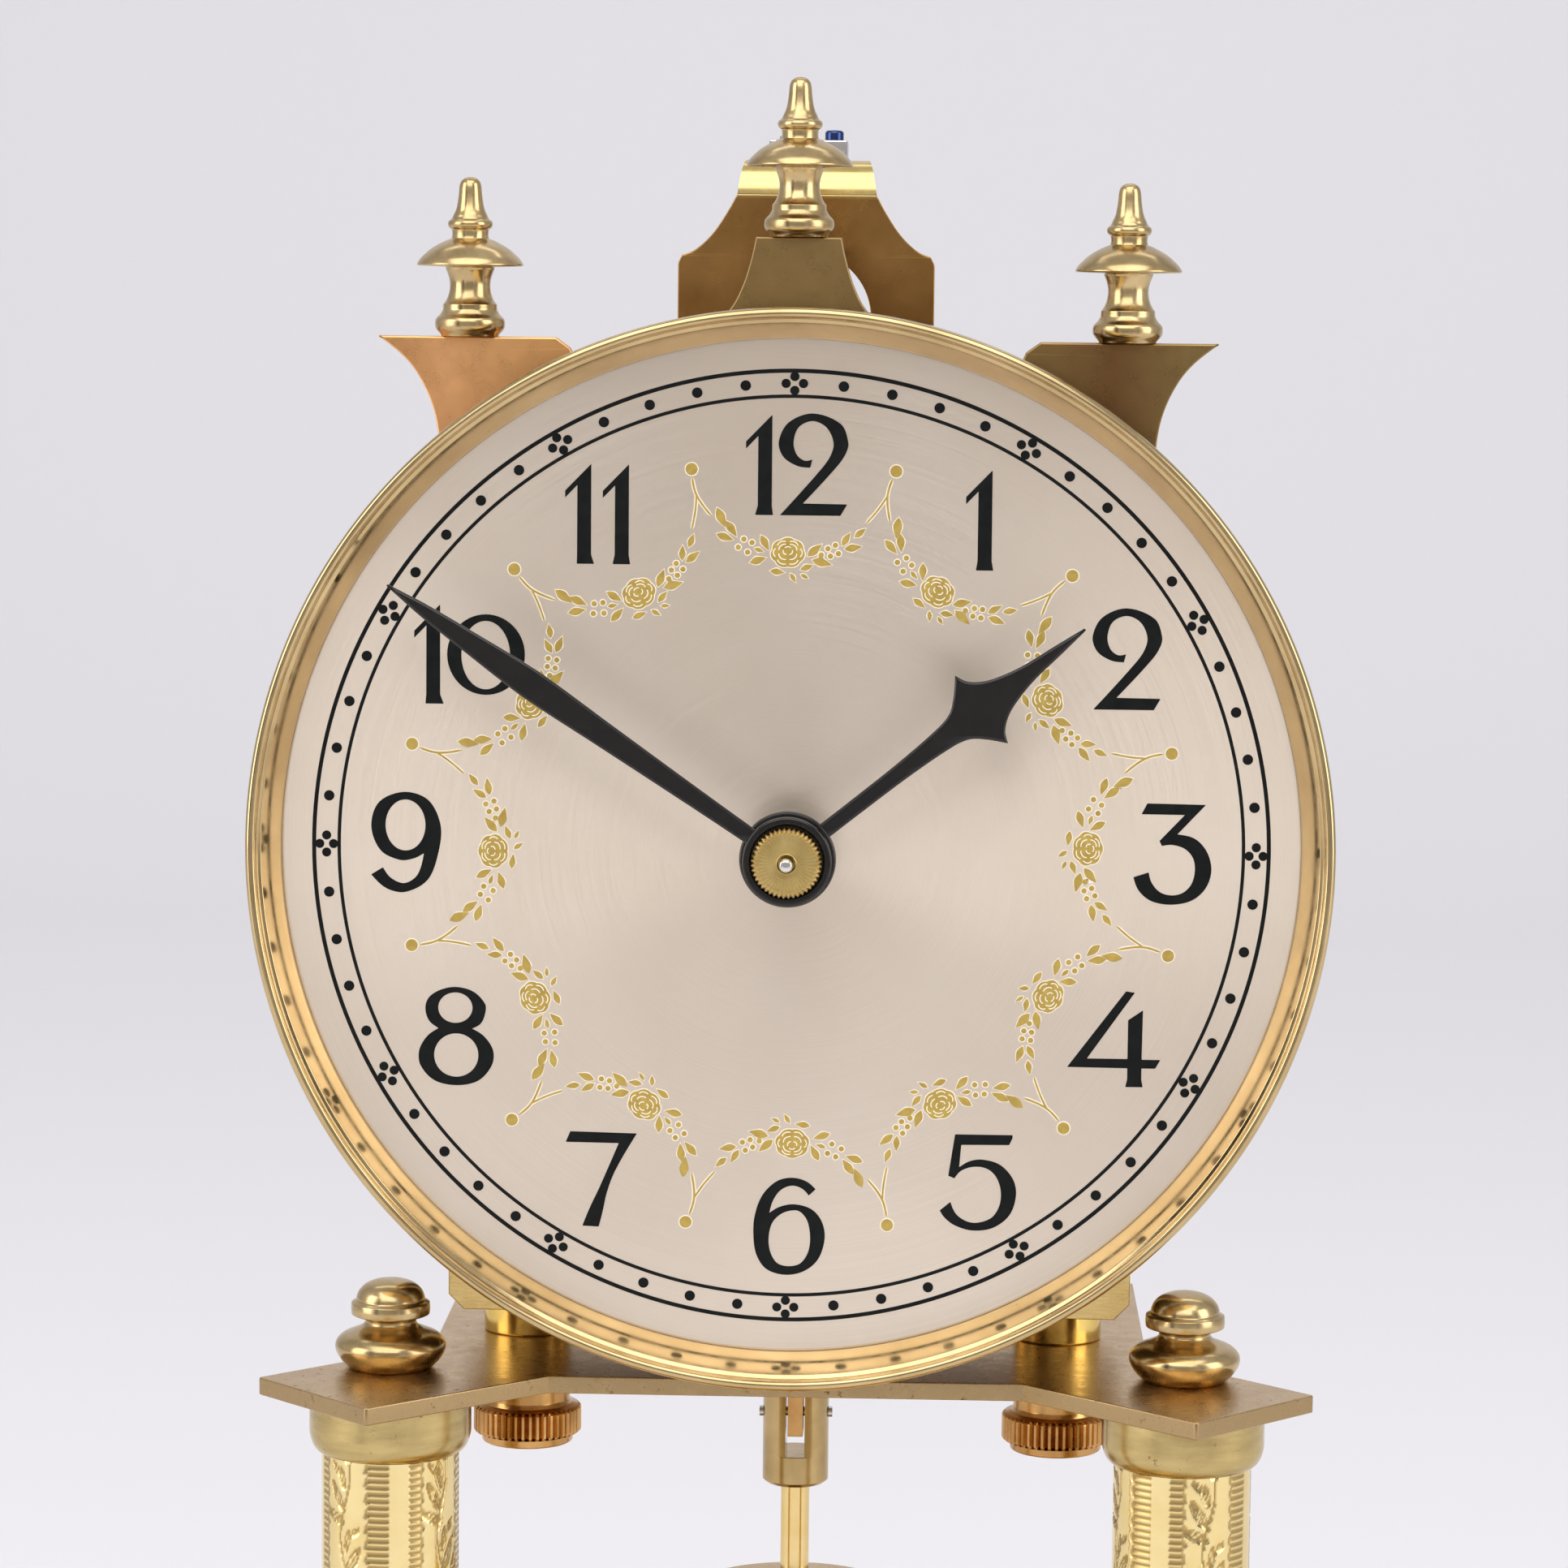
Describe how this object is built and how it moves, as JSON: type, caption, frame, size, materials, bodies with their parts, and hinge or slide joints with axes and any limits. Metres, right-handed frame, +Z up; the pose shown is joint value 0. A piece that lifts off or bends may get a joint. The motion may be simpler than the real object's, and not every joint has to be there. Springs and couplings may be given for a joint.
{
  "type": "mantel clock",
  "caption": "Torsion-pendulum mantel clock on a round base with two pillars, a plated movement, a silvered dial and turned finials.",
  "frame": {"origin": "centre of the base on the surface the levelling screws stand on", "axes": "+X to the clock's right as seen from the front, +Y to the back (the dial faces -Y), +Z up"},
  "size_m": [0.184, 0.184, 0.2611],
  "materials": {
    "dark_brass": "tarnished, speckled",
    "pillar_brass": "polished, engraved",
    "brass": "turned, lightly tarnished",
    "copper_brass": "reddened brass",
    "bezel_brass": "polished",
    "dial_silver": "silvered, circular brushed with gilt garlands",
    "steel": "satin",
    "bright_steel": "polished",
    "hand_black": "gloss black",
    "iron": "painted",
    "spring_steel": "blued",
    "plate_brass": "brushed"
  },
  "bodies": {
    "root": {"base_shell": "dark_brass", "base_weight": "iron", "guide_cup": "brass", "pillar_tube_left": "pillar_brass", "pillar_tube_right": "pillar_brass", "pillar_cap_top_left": "dark_brass", "pillar_cap_top_right": "dark_brass", "pillar_cap_bottom_left": "dark_brass", "pillar_cap_bottom_right": "dark_brass", "pillar_rod_left": "steel", "pillar_rod_right": "steel", "pillar_nut_left": "brass", "pillar_nut_right": "brass", "platform": "dark_brass", "spacer_left": "brass", "spacer_right": "brass", "thumb_screw_left": "copper_brass", "thumb_screw_right": "copper_brass", "front_plate": "plate_brass", "back_plate": "plate_brass", "dial": "dial_silver", "bezel": "bezel_brass", "crest_plate": "copper_brass", "finial_left": "brass", "finial_centre": "brass", "finial_right": "brass", "click_spring": "spring_steel", "suspension_bracket": "dark_brass"},
    "levelling_front": {"levelling_screw_front": "brass"},
    "levelling_left": {"levelling_screw_left": "brass"},
    "levelling_right": {"levelling_screw_right": "brass"},
    "minute": {"minute_hand": "hand_black", "hand_nut": "brass", "cannon_pinion": "steel", "centre_wheel": "brass"},
    "hour": {"hour_hand": "hand_black", "hour_wheel": "brass"},
    "minute_gear": {"minute_wheel": "brass"},
    "third": {"third_wheel": "brass"},
    "second": {"second_wheel": "brass"},
    "barrel": {"barrel": "brass", "mainspring": "spring_steel"},
    "fourth": {"fourth_wheel": "brass"},
    "escape": {"escape_wheel": "brass"},
    "winding": {"winding_arbor": "steel"},
    "click": {"click": "steel"},
    "anchor": {"anchor": "steel"},
    "saddle": {"suspension_saddle": "bright_steel", "suspension_spring": "bright_steel"},
    "fork": {"suspension_fork": "brass"},
    "pendulum": {"suspension_bottom_block": "steel", "pendulum_head": "brass", "pendulum_canopy": "dark_brass", "pendulum_frame": "brass", "pendulum_ball_1": "brass", "pendulum_ball_2": "brass", "pendulum_ball_3": "brass", "pendulum_ball_4": "brass", "regulating_disc": "brass"}
  },
  "joints": [
    {"name": "minute_hand_turn", "type": "hinge", "parent": "root", "child": "minute", "pos_m": [0, -0.03, 0.1878], "axis": [0, 1, 0], "continuous": true},
    {"name": "hour_hand_turn", "type": "hinge", "parent": "root", "child": "hour", "pos_m": [0, -0.03, 0.1878], "axis": [0, 1, 0], "continuous": true},
    {"name": "minute_wheel_turn", "type": "hinge", "parent": "root", "child": "minute_gear", "pos_m": [0.00831, -0.03, 0.183], "axis": [0, 1, 0], "continuous": true},
    {"name": "third_wheel_turn", "type": "hinge", "parent": "root", "child": "third", "pos_m": [-0.0129, -0.03, 0.1887], "axis": [0, 1, 0], "continuous": true},
    {"name": "second_wheel_turn", "type": "hinge", "parent": "root", "child": "second", "pos_m": [-0.011, -0.03, 0.17443], "axis": [0, 1, 0], "continuous": true},
    {"name": "barrel_turn", "type": "hinge", "parent": "root", "child": "barrel", "pos_m": [0.008, -0.03, 0.1628], "axis": [0, 1, 0], "continuous": true},
    {"name": "fourth_wheel_turn", "type": "hinge", "parent": "root", "child": "fourth", "pos_m": [0.007, -0.03, 0.1966], "axis": [0, 1, 0], "continuous": true},
    {"name": "escape_wheel_turn", "type": "hinge", "parent": "root", "child": "escape", "pos_m": [0, -0.03, 0.2044], "axis": [0, 1, 0], "continuous": true},
    {"name": "winding_arbor_turn", "type": "hinge", "parent": "root", "child": "winding", "pos_m": [0.008, -0.03, 0.1628], "axis": [0, 1, 0], "continuous": true},
    {"name": "click_lift", "type": "hinge", "parent": "root", "child": "click", "pos_m": [0.02, -0.03, 0.1688], "axis": [0, 1, 0], "range_deg": [0, 12], "stiffness_Nm_per_rad": 0.002, "springref_deg": -5.73},
    {"name": "beat_adjust", "type": "hinge", "parent": "root", "child": "saddle", "pos_m": [0, 0, 0.2539], "axis": [0, 0, 1], "range_deg": [-2, 2]},
    {"name": "pendulum_twist", "type": "hinge", "parent": "saddle", "child": "pendulum", "pos_m": [0, 0, 0.1234], "axis": [0, 0, 1], "range_deg": [-180, 180], "stiffness_Nm_per_rad": 0.000023, "deforming": ["suspension_spring"]},
    {"name": "fork_swing", "type": "hinge", "parent": "saddle", "child": "fork", "pos_m": [0, 0, 0.238], "axis": [0, 0, 1], "range_deg": [-6.01, 6.01]},
    {"name": "anchor_rock", "type": "hinge", "parent": "root", "child": "anchor", "pos_m": [0, -0.03, 0.2158], "axis": [0, 1, 0], "range_deg": [-3.45, 3.45]},
    {"name": "levelling_screw_front_turn", "type": "hinge", "parent": "root", "child": "levelling_front", "pos_m": [0, -0.0835, 0.004], "axis": [0, 0, 1], "continuous": true},
    {"name": "levelling_screw_right_turn", "type": "hinge", "parent": "root", "child": "levelling_right", "pos_m": [0.07231, 0.04175, 0.004], "axis": [0, 0, 1], "continuous": true},
    {"name": "levelling_screw_left_turn", "type": "hinge", "parent": "root", "child": "levelling_left", "pos_m": [-0.07231, 0.04175, 0.004], "axis": [0, 0, 1], "continuous": true}
  ],
  "couplings": [
    {"joint": "hour_hand_turn", "follows": "minute_hand_turn", "ratio": 0.083333},
    {"joint": "minute_wheel_turn", "follows": "minute_hand_turn", "ratio": -0.33333},
    {"joint": "third_wheel_turn", "follows": "minute_hand_turn", "ratio": -0.13333},
    {"joint": "second_wheel_turn", "follows": "minute_hand_turn", "ratio": 0.016667},
    {"joint": "barrel_turn", "follows": "minute_hand_turn", "ratio": -0.0020833},
    {"joint": "fourth_wheel_turn", "follows": "minute_hand_turn", "ratio": -4},
    {"joint": "escape_wheel_turn", "follows": "minute_hand_turn", "ratio": 16},
    {"joint": "fork_swing", "follows": "pendulum_twist", "ratio": 0.033333},
    {"joint": "anchor_rock", "follows": "pendulum_twist", "ratio": 0.018}
  ]
}
